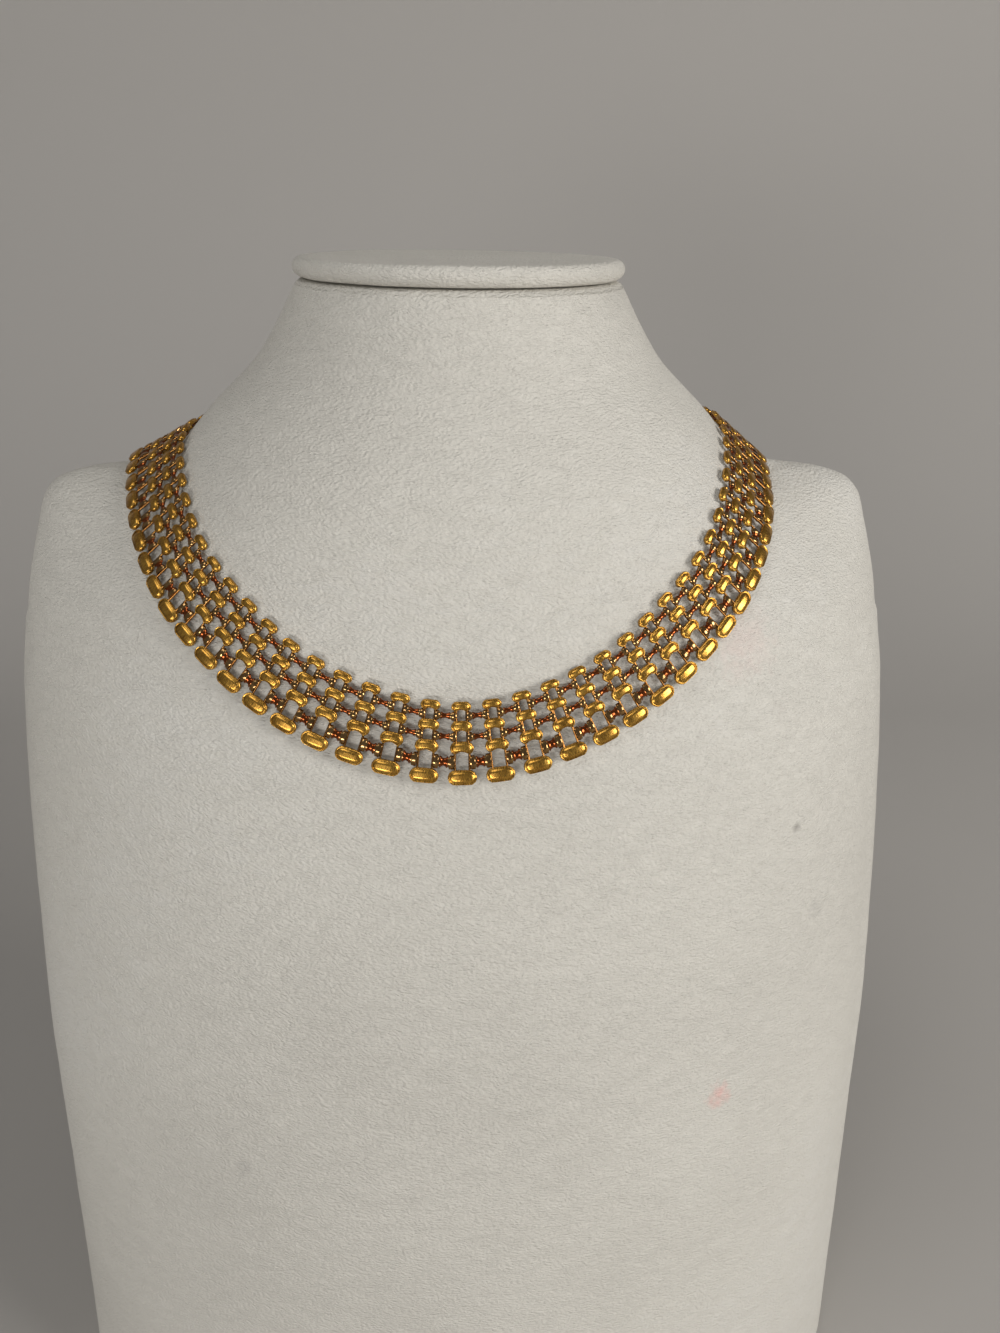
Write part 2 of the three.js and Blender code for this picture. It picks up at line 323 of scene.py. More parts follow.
COVER_STEPS = 300
COVER_RING_GAP = 1.6
COVER_WALK = 0.05  # the step upwards in which the gap between rings is measured
HEM = 1.4          # the rolled edge at the neck's top and at the base
CAP_RADIUS = 42
CAP_THICKNESS = 4.6
CAP_GAP = 0.4
CAP_STEPS = 160
CAP_EDGE_STEPS = 12
CAP_FLAT_SHARES = (0.25, 0.6, 0.85)  # rings on the cap's flat faces
CAP_EDGE_SETTLE = 0.25  # how far the padded edge draws in, and how much that varies
CAP_EDGE_LIFT = 0.18
CAP_EDGE_POWER = 6  # how closely the settling keeps to the edge
CAP_WAVES = (3, 0.3)  # how often the settling changes round the cap and up its edge
# The back panel laps over the front one: its edges, as angles, and its top.
LAP_EDGES = (-14.0, 186.0)
LAP_TOP = 240.0
LAP_RISE = 0.55
LAP_EDGE_BLEND = 0.6
LAP_TOP_BLEND = 1.5
# The padding under the cover swells and sinks: how often across a millimetre, and how far.
BROAD_SWELL = (0.021, 0.35)
FINE_SWELL = (0.11, 0.09)
FINE_SWELL_SHIFT = (7, 3, 1)
SWELL_SETTLE = 0.25
HEM_ANGLES = (0.0, 0.5, 1.0, 1.4)  # points round the rolled edge, in radians


def ease(value, low, high):
    t = min(max((value - low) / (high - low), 0.0), 1.0)
    return t * t * (3 - 2 * t)


def cover_radius(angle, z):
    low, high = SHOULDER_TOP
    if low < z < high:
        t = (z - low) / (high - low)
        return cover_radius(angle, low) * (1 - t) + cover_radius(angle, high) * t
    if z >= high:
        return bust_radius(angle, z)
    turn = math.degrees(angle)
    turn = turn - 360 if turn > 270 else turn
    first, last = LAP_EDGES
    lapped = ease(turn, first - LAP_EDGE_BLEND, first + LAP_EDGE_BLEND)
    lapped *= 1 - ease(turn, last - LAP_EDGE_BLEND, last + LAP_EDGE_BLEND)
    lapped *= 1 - ease(z, LAP_TOP - LAP_TOP_BLEND, LAP_TOP)
    return bust_radius(angle, z) + LAP_RISE * lapped


# Heights of the cover's rings, spaced evenly along the surface.
def cover_heights():
    heights = [HEM]
    z = HEM
    travelled = 0.0
    while z < NECK_TOP - HEM:
        z = min(z + COVER_WALK, NECK_TOP - HEM)
        sides = (
            math.hypot(COVER_WALK, cover_radius(angle, z) - cover_radius(angle, z - COVER_WALK))
            for angle in (0.0, -math.pi / 2)
        )
        travelled += max(sides)
        if travelled >= COVER_RING_GAP:
            heights.append(z)
            travelled = 0.0
    heights.append(NECK_TOP - HEM)
    return heights


def soft_swell(point):
    broad = noise.noise(Vector(point) * BROAD_SWELL[0])
    fine = noise.noise(Vector(point) * FINE_SWELL[0] + Vector(FINE_SWELL_SHIFT))
    return BROAD_SWELL[1] * broad + FINE_SWELL[1] * fine - SWELL_SETTLE


def cover_ring(z, inset):
    ring = []
    for i in range(COVER_STEPS):
        angle = 2 * math.pi * i / COVER_STEPS
        radius = cover_radius(angle, z) - inset
        x, y = radius * math.cos(angle), centre_y(z) + radius * math.sin(angle)
        swell = soft_swell((x, y, z))
        ring.append((x + swell * math.cos(angle), y + swell * math.sin(angle), z))
    return ring


def make_bust_cover(finish):
    edge = [(HEM * (1 - math.cos(a)), HEM * (1 - math.sin(a))) for a in HEM_ANGLES]
    rings = [cover_ring(rise, inset) for inset, rise in reversed(edge)]
    rings += [cover_ring(z, 0.0) for z in cover_heights()]
    rings += [cover_ring(NECK_TOP - rise, inset) for inset, rise in edge]
    middles = [(0, centre_y(0), 0.0), (0, centre_y(NECK_TOP), NECK_TOP)]
    mesh = shell_from_rings("bust_cover", rings, *middles)
    return piece_from("bust_cover", mesh, finish)


def make_cap_cover(finish):
    half = CAP_THICKNESS / 2
    foot = NECK_TOP + CAP_GAP
    profile = [(CAP_RADIUS * share, 0.0) for share in CAP_FLAT_SHARES]
    for i in range(CAP_EDGE_STEPS + 1):
        angle = -math.pi / 2 + math.pi * i / CAP_EDGE_STEPS
        profile.append((CAP_RADIUS - half + half * math.cos(angle), half + half * math.sin(angle)))
    profile += [(CAP_RADIUS * share, CAP_THICKNESS) for share in reversed(CAP_FLAT_SHARES)]
    middle_y = centre_y(NECK_TOP)
    rings = []
    for radius, rise in profile:
        ring = []
        for i in range(CAP_STEPS):
            angle = 2 * math.pi * i / CAP_STEPS
            edge_share = (radius / CAP_RADIUS) ** CAP_EDGE_POWER
            across, upwards = CAP_WAVES
            wave = noise.noise(Vector((
                across * math.cos(angle), across * math.sin(angle), rise * upwards,
            )))
            reach = radius - edge_share * CAP_EDGE_SETTLE * (1 + wave)
            z = foot + rise + (CAP_EDGE_LIFT * wave * edge_share if rise > 0 else 0.0)
            ring.append((reach * math.cos(angle), middle_y + reach * math.sin(angle), z))
        rings.append(ring)
    middles = [(0, middle_y, foot), (0, middle_y, foot + CAP_THICKNESS)]
    mesh = shell_from_rings("cap_cover", rings, *middles)
    return piece_from("cap_cover", mesh, finish)


# ---- Node helpers ----


class Graph:
    """Adds nodes to a tree and joins them."""

    def __init__(self, tree):
        self.tree = tree

    def add(self, kind, inputs=None, **settings):
        node = self.tree.nodes.new(kind)
        for key, value in settings.items():
            setattr(node, key, value)
        for key, value in (inputs or {}).items():
            self.feed(node.inputs[key], value)
        return node

    def feed(self, socket, value):
        if isinstance(value, bpy.types.NodeSocket):
            self.tree.links.new(value, socket)
        elif isinstance(value, bpy.types.Node):
            self.tree.links.new(next(o for o in value.outputs if o.enabled), socket)
        else:
            socket.default_value = value

    def sum(self, operation, *values, kind="ShaderNodeMath"):
        return self.add(kind, dict(enumerate(values)), operation=operation)


def new_layout(name, sizes):
    """A Geometry Nodes tree with named sizes. Returns its graph and its two ends."""
    tree = bpy.data.node_groups.new(name, "GeometryNodeTree")
    tree.interface.new_socket("Geometry", in_out="INPUT", socket_type="NodeSocketGeometry")
    for size in sizes:
        kind = "NodeSocketMaterial" if size.lower().endswith("finish") else "NodeSocketFloat"
        tree.interface.new_socket(size, in_out="INPUT", socket_type=kind)
    tree.interface.new_socket("Geometry", in_out="OUTPUT", socket_type="NodeSocketGeometry")
    graph = Graph(tree)
    return graph, graph.add("NodeGroupInput").outputs, graph.add("NodeGroupOutput").inputs


def set_on_points(graph, points, instance):
    """Puts the instance on every point, turned and scaled by the point's own values."""
    turn = graph.add("GeometryNodeInputNamedAttribute", {"Name": "turn"}, data_type="FLOAT_VECTOR")
    size = graph.add("GeometryNodeInputNamedAttribute", {"Name": "size"}, data_type="FLOAT_VECTOR")
    placed = graph.add("GeometryNodeInstanceOnPoints", {
        "Points": points, "Instance": instance, "Rotation": turn, "Scale": size,
    })
    return graph.add("GeometryNodeRealizeInstances", {0: placed})


def keep_local_place(graph, geometry):
    """Stores each point's place within its own part, which the brushing follows."""
    place = graph.add("GeometryNodeInputPosition")
    return graph.add("GeometryNodeStoreNamedAttribute", {
        "Geometry": geometry, "Name": "part_place", "Value": place,
    }, data_type="FLOAT_VECTOR")


# Round a plate's crowned face: steps outwards across the rim and down its side to the back,
# as shares of the rim's width and heights as shares of the thickness.
RIM_STEPS = [
    (0.14, 0.66), (0.42, 0.84), (0.76, 0.84), (1.0, 0.5), (0.92, 0.0),
]
FACE_COLUMNS, FACE_ROWS = 9, 4
FACE_HEIGHT = 0.78


def plate_layout():
    sizes = [
        "Width", "Height", "Thickness", "Crown", "Rim", "End rounding", "Shoulder rounding",
        "Arch", "Arch width", "Rim finish", "Face finish",
    ]
    graph, given, result = new_layout("pressed_plate", sizes)

    def times(*values):
        product = values[0]
        for value in values[1:]:
            product = graph.sum("MULTIPLY", product, value)
        return product

    def less(value, taken):
        return graph.sum("SUBTRACT", value, taken)

    rims = times(given["Rim"], 2.0)
    face_width = less(given["Width"], rims)
    face_height = less(given["Height"], rims)
    grid = graph.add("GeometryNodeMeshGrid", {
        "Size X": face_width, "Size Y": face_height,
        "Vertices X": FACE_COLUMNS, "Vertices Y": FACE_ROWS,
    })
    place = graph.add("GeometryNodeInputPosition")
    parts = graph.add("ShaderNodeSeparateXYZ", {0: place})
    x, y = parts.outputs[0], parts.outputs[1]
    u = graph.sum("DIVIDE", x, times(face_width, 0.5))
    v = graph.sum("DIVIDE", y, times(face_height, 0.5))
    round_x = times(x, less(1.0, times(given["End rounding"], v, v)))
    round_y = times(y, less(1.0, times(
        given["Shoulder rounding"], times(u, u, u, u), times(u, u, u, u),
    )))
    across = graph.sum("DIVIDE", x, given["Arch width"])
    hollow = graph.sum("MAXIMUM", less(1.0, times(across, across)), 0.0)
    below = graph.sum("MAXIMUM", times(v, -1.0), 0.0)
    arched_y = graph.sum("ADD", round_y, times(given["Arch"], hollow, below))
    crown = times(given["Crown"], less(1.0, times(u, u)))
    face_z = graph.sum("ADD", times(given["Thickness"], FACE_HEIGHT), crown)
    outline = graph.add("GeometryNodeSetPosition", {
        "Geometry": grid,
        "Position": graph.add("ShaderNodeCombineXYZ", {0: round_x, 1: arched_y, 2: 0.0}),
    })
    # The crown's height is kept aside, because the back is made from the flat outline.
    kept = graph.add("GeometryNodeStoreNamedAttribute", {
        "Geometry": grid, "Name": "face_z", "Value": face_z,
    })
    outline_kept = graph.add("GeometryNodeSetPosition", {
        "Geometry": kept,
        "Position": graph.add("ShaderNodeCombineXYZ", {0: round_x, 1: arched_y, 2: face_z}),
    })
    face = graph.add("GeometryNodeSetMaterial", {
        "Geometry": outline_kept, "Material": given["Face finish"],
    })
    neighbours = graph.add("GeometryNodeInputMeshEdgeNeighbors")
    border = graph.sum("LESS_THAN", neighbours, 1.5)
    shape = face
    share_before = 0.0
    for share, height in RIM_STEPS:
        grown = graph.add("GeometryNodeExtrudeMesh", {
            "Mesh": shape, "Selection": border, "Offset Scale": 0.0,
        }, mode="EDGES")
        border = grown.outputs["Top"]
        growth = []
        for side in (face_width, face_height):
            before = graph.sum("ADD", side, times(rims, share_before))
            after = graph.sum("ADD", side, times(rims, share))
            growth.append(graph.sum("DIVIDE", after, before))
        where = graph.add("ShaderNodeSeparateXYZ", {0: graph.add("GeometryNodeInputPosition")})
        moved = graph.add("ShaderNodeCombineXYZ", {
            0: times(where.outputs[0], growth[0]), 1: times(where.outputs[1], growth[1]),
            2: times(given["Thickness"], height),
        })
        shape = graph.add("GeometryNodeSetPosition", {
            "Geometry": grown.outputs["Mesh"], "Selection": border, "Position": moved,
        })
        share_before = share
    spread = []
    for side in (face_width, face_height):
        last = graph.sum("ADD", side, times(rims, share_before))
        spread.append(graph.sum("DIVIDE", last, side))
    back = graph.add("GeometryNodeTransform", {
        "Geometry": graph.add("GeometryNodeFlipFaces", {"Mesh": outline}),
        "Scale": graph.add("ShaderNodeCombineXYZ", {0: spread[0], 1: spread[1], 2: 1.0}),
    })
    closed = graph.add("GeometryNodeJoinGeometry")
    for part in (shape, back):
        graph.feed(closed.inputs[0], part)
    welded = graph.add("GeometryNodeMergeByDistance", {"Geometry": closed, "Distance": 2e-6})
    local = keep_local_place(graph, welded)
    placed = set_on_points(graph, given["Geometry"], local)
    graph.feed(result[0], placed)
    return graph.tree


# A turned bar along x of unit length, its thickness following a profile from end to end.
def bar_layout(name, profile, sides, steps):
    sizes = ["Half height", "Flatness", "Finish"]
    graph, given, result = new_layout(name, sizes)
    line = graph.add("GeometryNodeCurvePrimitiveLine", {"Start": (-0.5, 0, 0), "End": (0.5, 0, 0)})
    spaced = graph.add("GeometryNodeResampleCurve", {"Curve": line, "Count": steps})
    share = graph.add("GeometryNodeSplineParameter")
    shape = graph.add("ShaderNodeFloatCurve", {"Value": share.outputs["Factor"]})
    curve = shape.mapping.curves[0]
    curve.points[0].location = profile[0]
    curve.points[-1].location = profile[-1]
    for point in profile[1:-1]:
        curve.points.new(*point)
    for point in curve.points:
        point.handle_type = "VECTOR"
    shape.mapping.update()
    ring = graph.add("GeometryNodeCurvePrimitiveCircle", {"Resolution": sides, "Radius": 1.0})
    radius = graph.sum("MULTIPLY", shape, given["Half height"])
    bar = graph.add("GeometryNodeCurveToMesh", {
        "Curve": spaced, "Profile Curve": ring, "Scale": radius, "Fill Caps": True,
    })
    place = graph.add("GeometryNodeInputPosition")
    flatten = graph.add("ShaderNodeCombineXYZ", {0: 1.0, 1: 1.0, 2: given["Flatness"]})
    flat = graph.add("GeometryNodeSetPosition", {
        "Geometry": bar,
        "Position": graph.sum("MULTIPLY", place, flatten, kind="ShaderNodeVectorMath"),
    })
    local = keep_local_place(graph, flat)
    placed = set_on_points(graph, given["Geometry"], local)
    finished = graph.add("GeometryNodeSetMaterial", {
        "Geometry": placed, "Material": given["Finish"],
    })
    graph.feed(result[0], finished)
    return graph.tree


def run_layout(tree, frames, sizes):
    """Runs a layout on points given as (matrix in millimetres, scale) and returns a plain mesh."""
    points = bpy.data.meshes.new("points")
    points.from_pydata([placing.translation * MM for placing, _ in frames], [], [])
    turns = points.attributes.new("turn", "FLOAT_VECTOR", "POINT")
    scales = points.attributes.new("size", "FLOAT_VECTOR", "POINT")
    for i, (placing, scale) in enumerate(frames):
        turns.data[i].vector = placing.to_euler()
        scales.data[i].vector = scale
    holder = piece_from("points", points)
    layout = holder.modifiers.new("layout", "NODES")
    layout.node_group = tree
    for socket in tree.interface.items_tree:
        if socket.in_out == "INPUT" and socket.name in sizes:
            layout[socket.identifier] = sizes[socket.name]
    depsgraph = bpy.context.evaluated_depsgraph_get()
    made = bpy.data.meshes.new_from_object(holder.evaluated_get(depsgraph), depsgraph=depsgraph)
    holder.modifiers.remove(layout)
    bpy.data.objects.remove(holder)
    return made


def join_meshes(name, meshes):
    """One mesh from several, keeping each one's finishes."""
    joined = bmesh.new()
    finishes = []
    for mesh in meshes:
        slots = []
        for finish in mesh.materials:
            if finish not in finishes:
                finishes.append(finish)
            slots.append(finishes.index(finish))
        first = len(joined.faces)
        joined.from_mesh(mesh)
        joined.faces.ensure_lookup_table()
        for face in joined.faces[first:]:
            face.material_index = slots[face.material_index] if slots else 0
    bmesh.ops.recalc_face_normals(joined, faces=joined.faces)
    result = bpy.data.meshes.new(name)
    joined.to_mesh(result)
    joined.free()
    for finish in finishes:
        result.materials.append(finish)
    return result


# ---- Collar ----

PLATE_RIM = 0.42
PLATE_CROWN = 0.34
# For each plate: how much its ends and its shoulders are rounded, and the arch cut below it.
PLATE_ROUNDING = [(0.13, 0.4), (0.12, 0.4), (0.12, 0.4), (0.12, 0.36)]
PLATE_ARCHES = [(0.28, 1.0), (0.34, 1.15), (0.5, 1.55), (0.0, 1.0)]
# The finished plates' widths and heights, rims included, and the clasp's.
PLATE_SIZES = [(4.45, 2.25), (4.75, 2.65), (5.3, 3.0), (6.5, 3.35)]
CLASP_SIZE = (6, 18.15)
# Beads at both ends of a waisted neck, with a thin ring each side of the neck.
BEAD_PROFILE = [
    (0, 0.6), (0.045, 0.9), (0.09, 0.98), (0.15, 1.0), (0.22, 0.94), (0.273, 0.6), (0.318, 0.76),
    (0.364, 0.7), (0.41, 0.53), (0.5, 0.48), (0.59, 0.53), (0.636, 0.7), (0.682, 0.76),
    (0.727, 0.6), (0.78, 0.94), (0.85, 1.0), (0.91, 0.98), (0.955, 0.9), (1, 0.6),
]
# Straight barrels at both ends of a neck.
BARREL_PROFILE = [
    (0, 0.88), (0.045, 1.0), (0.227, 1.0), (0.273, 0.66), (0.318, 0.84), (0.364, 0.8), (0.41, 0.6),
    (0.5, 0.54), (0.59, 0.6), (0.636, 0.8), (0.682, 0.84), (0.727, 0.66), (0.773, 1.0),
    (0.955, 1.0), (1, 0.88),
]
# How far from a link's middle its connectors start, bay by bay.
CONNECTOR_EDGES = [0.95, 1.1, 1.75]
BARREL_BAY = 2        # the outer bay's connectors are barrels
RAIL_LAP = 0.35       # how far a rail runs under the plates
RAIL_FLATNESS = 1.1
CONNECTOR_DEPTH = 0.62  # half a connector's depth
BAR_SHAPES = {"rail": (6, 6), "connector": (8, 23)}  # sides round a bar and rings along it
# A rail flares where it runs into the plate above it.
RAIL_PROFILE = [(0, 1.0), (0.15, 0.96), (0.6, 0.96), (0.76, 1.08), (0.88, 1.34), (1, 1.75)]


def bay_span(bay):
    top = PLATES[bay][0] + PLATES[bay][2] / 2
    bottom = PLATES[bay + 1][0] - PLATES[bay + 1][2] / 2
    return top, bottom


def between(start, end, away):
    """A frame halfway from start to end, x along it and z nearest to away; and the distance."""
    reach = end - start
    along = reach.normalized()
    side = away.cross(along).normalized()
    turn = Matrix((along, side, along.cross(side))).transposed()
    return Matrix.Translation((start + end) / 2) @ turn.to_4x4(), reach.length


def plate_frames(row):
    v = PLATES[row][0]
    return [(link @ Matrix.Translation((0, -v, 0)), (1, 1, 1)) for link in links.values()]


def make_clasp(satin, polished):
    width, height = CLASP_SIZE
    top = PLATES[0][2] / 2
    middle = links[CLASP_PLACE] @ Matrix.Translation((0, top - height / 2, 0))
    mesh = run_layout(plate_layout(), [(middle, (1, 1, 1))], {
        "Width": width * MM, "Height": height * MM, "Thickness": LINK_THICKNESS * MM,
        "Crown": PLATE_CROWN * MM, "Rim": PLATE_RIM * MM, "End rounding": 0.12,
        "Shoulder rounding": 0.06, "Arch": 0.0, "Arch width": width * MM,
        "Rim finish": polished, "Face finish": satin,
    })
    return piece_from("clasp_plate", smooth(join_meshes("clasp_plate", [mesh])))


def rail_frames(bay):
    window, ladder, _ = BAYS[bay]
    top, bottom = bay_span(bay)
    frames = []
    for link in links.values():
        away = link.to_3x3().col[2]
        for side in (-1, 1):
            x = side * (window + ladder) / 2
            start = link @ Vector((x, -bottom - RAIL_LAP, LINK_THICKNESS / 2))
            end = link @ Vector((x, -top + RAIL_LAP, LINK_THICKNESS / 2))
            placing, length = between(start, end, away)
            frames.append((placing, (length * MM, 1, 1)))
    return frames


def connector_frames(bay):
    edge = CONNECTOR_EDGES[bay]
    top, bottom = bay_span(bay)
    middle = -(top + bottom) / 2
    frames = []
    for index in range(1 - CLASP_PLACE, CLASP_PLACE):
        link, after = links[index], links[index + 1]
        start = link @ Vector((edge, middle, LINK_THICKNESS / 2))
        end = after @ Vector((-edge, middle, LINK_THICKNESS / 2))
        away = (link.to_3x3().col[2] + after.to_3x3().col[2]).normalized()
        placing, length = between(start, end, away)
        frames.append((placing, (length * MM, 1, 1)))
    return frames


def make_collar(satin, polished, beading, rail_finish):
    meshes = []
    plate = plate_layout()
    for row, (width, height) in enumerate(PLATE_SIZES):
        meshes.append(run_layout(plate, plate_frames(row), {
            "Width": width * MM, "Height": height * MM, "Thickness": LINK_THICKNESS * MM,
            "Crown": PLATE_CROWN * MM, "Rim": PLATE_RIM * MM,
            "End rounding": PLATE_ROUNDING[row][0], "Shoulder rounding": PLATE_ROUNDING[row][1],
            "Arch": PLATE_ARCHES[row][0] * MM, "Arch width": PLATE_ARCHES[row][1] * MM,
            "Rim finish": polished, "Face finish": satin,
        }))
    rail = bar_layout("rail", RAIL_PROFILE, *BAR_SHAPES["rail"])
    beads = bar_layout("bead_connector", BEAD_PROFILE, *BAR_SHAPES["connector"])
    barrels = bar_layout("barrel_connector", BARREL_PROFILE, *BAR_SHAPES["connector"])
    for bay, (window, ladder, height) in enumerate(BAYS):
        meshes.append(run_layout(rail, rail_frames(bay), {
            "Half height": (ladder - window) / 2 * MM, "Flatness": RAIL_FLATNESS,
            "Finish": rail_finish,
        }))
        thin = CONNECTOR_DEPTH / (height / 2)
        layout = barrels if bay == BARREL_BAY else beads
        meshes.append(run_layout(layout, connector_frames(bay), {
            "Half height": height / 2 * MM, "Flatness": thin, "Finish": beading,
        }))
    mesh = join_meshes("collar_links", meshes)
    return piece_from("collar_links", smooth(mesh))


# ---- Finishes ----


def new_finish(name):
    finish = bpy.data.materials.new(name)
    finish.use_nodes = True
    graph = Graph(finish.node_tree)
    return finish, graph, finish.node_tree.nodes["Principled BSDF"]


def colour_ramp(graph, value, stops):
    ramp = graph.add("ShaderNodeValToRGB", {0: value})
    ramp.color_ramp.elements[0].position = stops[0][0]
    ramp.color_ramp.elements[0].color = (*stops[0][1], 1)
    ramp.color_ramp.elements[1].position = stops[-1][0]
    ramp.color_ramp.elements[1].color = (*stops[-1][1], 1)
    for position, colour in stops[1:-1]:
        ramp.color_ramp.elements.new(position).color = (*colour, 1)
    return ramp


STREAK_SHIFT = (300, 300, 300)  # moves the brushing along from one link to the next
NECK_REFLECTION_SPAN = (0.17, 0.22)  # how far from a connector's middle the painted red reflection on the neck ends


def gold_finish(name, tint, dark, roughness, streaks, neck=None):
    finish, graph, shader = new_finish(name)
    shader.inputs["Metallic"].default_value = 1.0
    place = graph.add("ShaderNodeAttribute", attribute_name="part_place")
    where = graph.add("ShaderNodeTexCoord")
    shift = graph.sum(
        "MULTIPLY", where.outputs["Object"], STREAK_SHIFT, kind="ShaderNodeVectorMath",
    )
    local = graph.sum("MULTIPLY", place.outputs["Vector"], streaks, kind="ShaderNodeVectorMath")
    along = graph.sum("ADD", local, shift, kind="ShaderNodeVectorMath")
    brushing = graph.add("ShaderNodeTexNoise", {"Vector": along, "Scale": 1.0, "Detail": 3.0})
    mottle = graph.add("ShaderNodeTexNoise", {
        "Vector": where.outputs["Object"], "Scale": 420.0, "Detail": 2.0,
    })
    mixed = graph.sum(
        "ADD", graph.sum("MULTIPLY", brushing, 0.6), graph.sum("MULTIPLY", mottle, 0.4),
    )
    ramp = colour_ramp(graph, mixed, [(0.33, dark), (0.6, tint)])
    colour = ramp.outputs[0]
    if neck:
        # Between the beads the neck is painted red: a painted reflection of the gold.
        parts = graph.add("ShaderNodeSeparateXYZ", {0: place.outputs["Vector"]})
        middle = graph.add("ShaderNodeMapRange", {
            "Value": graph.sum("ABSOLUTE", parts.outputs[0]),
            "From Min": NECK_REFLECTION_SPAN[0], "From Max": NECK_REFLECTION_SPAN[1],
            "To Min": 1.0, "To Max": 0.0,
        })
        mixed_colour = graph.add("ShaderNodeMix", data_type="RGBA")
        graph.feed(mixed_colour.inputs[0], middle.outputs[0])
        graph.feed(mixed_colour.inputs[6], colour)
        graph.feed(mixed_colour.inputs[7], (*neck, 1))
        colour = mixed_colour.outputs[2]
    graph.feed(shader.inputs["Base Color"], colour)
    rough = graph.add("ShaderNodeMapRange", {
        "Value": brushing, "From Min": 0.3, "From Max": 0.7,
        "To Min": roughness * 0.75, "To Max": roughness * 1.3,
    })
    graph.feed(shader.inputs["Roughness"], rough.outputs[0])
    bump = graph.add("ShaderNodeBump", {
        "Height": brushing, "Strength": 0.35, "Distance": 0.00006,
    })
    graph.feed(shader.inputs["Normal"], bump)
    return finish


# Marks on the worn cover, and one painted reflection: middle in millimetres, reach, colour and
# depth.
STAINS_AND_PAINTED_REFLECTION = [
    ((62.2, -60.5, 136.3), 4.5, (0.86, 0.33, 0.30), 0.42),
    # A pinkish patch under the links: a painted warm reflection of the gold on the cover.
    ((65.5, -26.1, 245.5), 11.0, (0.80, 0.60, 0.56), 0.3),
    ((-55.6, -65.1, 123.4), 3.0, (0.38, 0.36, 0.34), 0.35),
    ((80.8, -36.9, 199.6), 1.6, (0.22, 0.20, 0.18), 0.6),
    ((88.2, -38.8, 176.3), 3.2, (0.42, 0.40, 0.37), 0.35),
    ((74.9, -29.6, 229.1), 3.5, (0.50, 0.46, 0.42), 0.3),
]


def leatherette_finish():
    finish, graph, shader = new_finish("white_leatherette")
    where = graph.add("ShaderNodeTexCoord")
    place = where.outputs["Object"]
    warp = graph.add("ShaderNodeTexNoise", {"Vector": place, "Scale": 160.0, "Detail": 2.0})
    bent = graph.sum("ADD", place, graph.sum(
        "MULTIPLY", warp.outputs["Color"], (0.0022, 0.0022, 0.0022), kind="ShaderNodeVectorMath",
    ), kind="ShaderNodeVectorMath")
    slant = graph.add("ShaderNodeMapping", {
        "Vector": bent, "Rotation": (0.0, math.radians(40), 0.0), "Scale": (1.0, 1.0, 2.2),
    })
    grain = graph.add("ShaderNodeTexVoronoi", {"Vector": slant, "Scale": 1150.0, "Randomness": 1.0},
                      feature="SMOOTH_F1")
    cracks = graph.add("ShaderNodeTexNoise", {"Vector": slant, "Scale": 1500.0, "Detail": 3.0,
                                              "Roughness": 0.6})
    creases = graph.add("ShaderNodeTexNoise", {"Vector": slant, "Scale": 190.0, "Detail": 5.0,
                                               "Roughness": 0.55})
    height = graph.sum("ADD", graph.sum("MULTIPLY", grain.outputs["Distance"], -0.7),
                       graph.sum("MULTIPLY", cracks, 0.5))
    height = graph.sum("ADD", height, graph.sum("MULTIPLY", creases, 0.35))
    bump = graph.add("ShaderNodeBump", {"Height": height, "Strength": 1.0, "Distance": 0.0005})
    graph.feed(shader.inputs["Normal"], bump)
    patches = graph.add("ShaderNodeTexNoise", {"Vector": place, "Scale": 9.0, "Detail": 3.0})
    tone = graph.sum(
        "ADD", graph.sum("MULTIPLY", patches, 0.75), graph.sum("MULTIPLY", creases, 0.25),
    )
    ramp = colour_ramp(graph, tone, [
        (0.34, (0.60, 0.575, 0.52)), (0.55, (0.67, 0.645, 0.585)), (0.7, (0.70, 0.68, 0.63)),
    ])
    colour = ramp.outputs[0]
    blotch = graph.add("ShaderNodeTexNoise", {"Vector": place, "Scale": 420.0, "Detail": 3.0})
    # Each mark is mixed into the colour: the stains, and the painted reflection of the gold.
    for middle, reach, stain_and_reflection_colour, depth in STAINS_AND_PAINTED_REFLECTION:
        spot = [value * MM for value in middle]
        away = graph.sum("DISTANCE", place, spot, kind="ShaderNodeVectorMath").outputs["Value"]
        ragged = graph.sum("ADD", away, graph.sum("MULTIPLY", graph.sum(
            "SUBTRACT", blotch, 0.5), reach * 1.6 * MM))
        share = graph.add("ShaderNodeMapRange", {
            "Value": ragged, "From Min": 0.1 * reach * MM, "From Max": reach * MM,
            "To Min": depth, "To Max": 0.0,
        })
        tinted = graph.add("ShaderNodeMix", data_type="RGBA")
        graph.feed(tinted.inputs[0], share.outputs[0])
        graph.feed(tinted.inputs[6], colour)
        graph.feed(tinted.inputs[7], (*stain_and_reflection_colour, 1))
        colour = tinted.outputs[2]
    graph.feed(shader.inputs["Base Color"], colour)
    rough = graph.add("ShaderNodeMapRange", {
        "Value": cracks, "From Min": 0.3, "From Max": 0.7, "To Min": 0.42, "To Max": 0.62,
    })
    graph.feed(shader.inputs["Roughness"], rough.outputs[0])
    shader.inputs["Specular IOR Level"].default_value = 0.4
    return finish


def plain_finish(name, colour, roughness):
    finish, _, shader = new_finish(name)
    shader.inputs["Base Color"].default_value = (*colour, 1)
    shader.inputs["Roughness"].default_value = roughness
    return finish


# ---- Studio ----

STUDIO_FLOOR = (-2500, -600, 400)  # from the front to where the floor bends up
STUDIO_BEND = 500
STUDIO_BEND_STEPS = 12
STUDIO_TOP = 3000
STUDIO_HALF_WIDTH = 3000


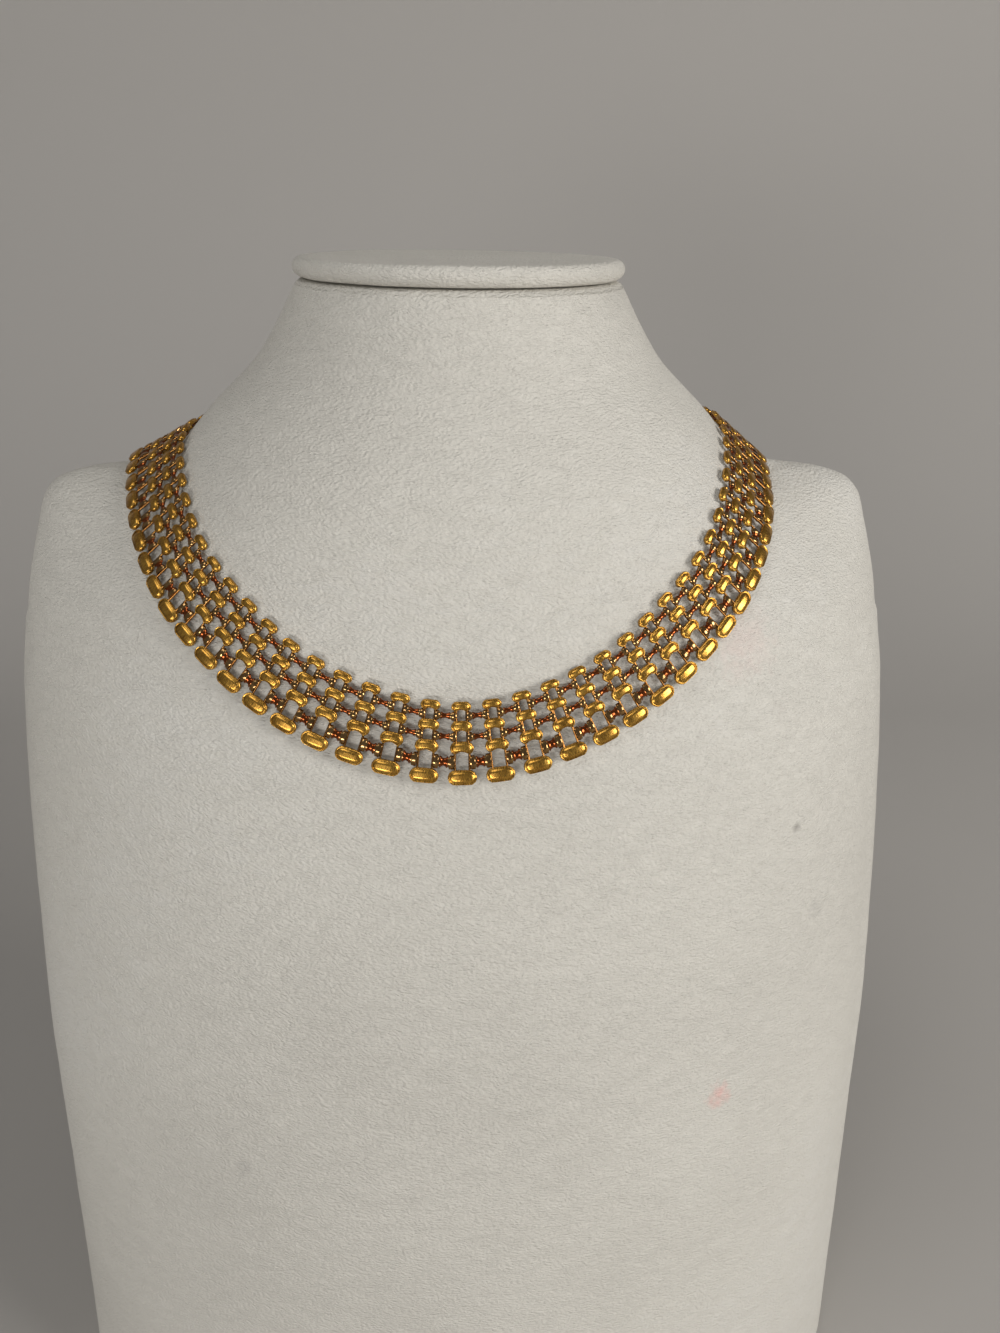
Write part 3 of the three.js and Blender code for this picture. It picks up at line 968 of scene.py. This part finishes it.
def make_studio():
    finish = plain_finish("studio_paper", (0.46, 0.44, 0.415), 0.9)
    profile = [(y, 0) for y in STUDIO_FLOOR]
    bend_start = STUDIO_FLOOR[-1]
    for i in range(1, STUDIO_BEND_STEPS + 1):
        angle = math.pi / 2 * i / STUDIO_BEND_STEPS
        profile.append((
            bend_start + STUDIO_BEND * math.sin(angle), STUDIO_BEND * (1 - math.cos(angle)),
        ))
    profile.append((bend_start + STUDIO_BEND, STUDIO_TOP))
    points, faces = [], []
    for x in (-STUDIO_HALF_WIDTH, STUDIO_HALF_WIDTH):
        points += [(x * MM, y * MM, z * MM) for y, z in profile]
    count = len(profile)
    for i in range(count - 1):
        faces.append((i, count + i, count + i + 1, i + 1))
    mesh = bpy.data.meshes.new("studio_sweep")
    mesh.from_pydata(points, [], faces)
    piece_from("studio_sweep", smooth(mesh), finish)


def add_light(name, place, target, size, power, colour):
    data = bpy.data.lights.new(name, "AREA")
    data.shape = "RECTANGLE"
    data.size, data.size_y = size
    data.energy = power
    data.color = colour
    light = bpy.data.objects.new(name, data)
    light.location = place
    direction = Vector(target) - Vector(place)
    light.rotation_euler = direction.to_track_quat("-Z", "Y").to_euler()
    bpy.context.scene.collection.objects.link(light)


def make_lights():
    world = bpy.data.worlds.new("studio")
    world.use_nodes = True
    background = world.node_tree.nodes["Background"]
    background.inputs["Color"].default_value = (0.95, 0.97, 1.0, 1)
    background.inputs["Strength"].default_value = 0.2
    bpy.context.scene.world = world
    middle = (0, -0.02, 0.24)
    add_light("key", (1.3, -0.75, 0.7), middle, (0.7, 0.7), 15, (1.0, 0.975, 0.94))
    add_light("overhead", (-0.4, -0.35, 1.3), middle, (0.5, 0.5), 2.6, (1.0, 0.98, 0.95))
    add_light("front", (-0.7, -1.6, 0.05), (0, 0, 0.18), (0.9, 0.5), 17, (1.0, 0.985, 0.965))
    view = bpy.context.scene.view_settings
    view.view_transform = "Standard"


# ---- Assembly ----


def main():
    make_camera()
    make_studio()
    make_lights()
    leatherette = leatherette_finish()
    satin = gold_finish(
        "satin_gold", (0.66, 0.37, 0.075), (0.34, 0.155, 0.025), 0.26, (9000, 900, 500),
    )
    # The polished gold of the rims is tinted darker than the satin gold: a painted dark reflection.
    polished = gold_finish(
        "polished_gold", (0.5, 0.27, 0.065), (0.28, 0.13, 0.03), 0.14, (900, 900, 900),
    )
    # The bead gold is tinted darker still: a painted dark reflection.
    beading = gold_finish(
        "bead_gold", (0.38, 0.225, 0.09), (0.22, 0.12, 0.045), 0.13, (12, 900, 900),
        # The neck's red is a painted reflection.
        neck=(0.27, 0.07, 0.02),
    )
    # The rails' gold is tinted darker than the satin gold: painted shade at the sides of the
    # windows.
    dark_painted_rail_gold = gold_finish(
        "rail_gold_painted_shade", (0.32, 0.15, 0.04), (0.17, 0.07, 0.02), 0.2, (12, 900, 900),
    )
    cover = make_bust_cover(leatherette)
    cap = make_cap_cover(leatherette)
    collar = make_collar(satin, polished, beading, dark_painted_rail_gold)
    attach(cover, "root")
    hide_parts("bust_body")
    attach(cap, "root")
    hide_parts("bust_cap")
    link_nodes = [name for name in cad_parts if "link" in name]
    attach(collar, "root")
    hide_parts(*link_nodes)
    clasp = make_clasp(satin, polished)
    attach(clasp, "root")
    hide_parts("clasp")


main()
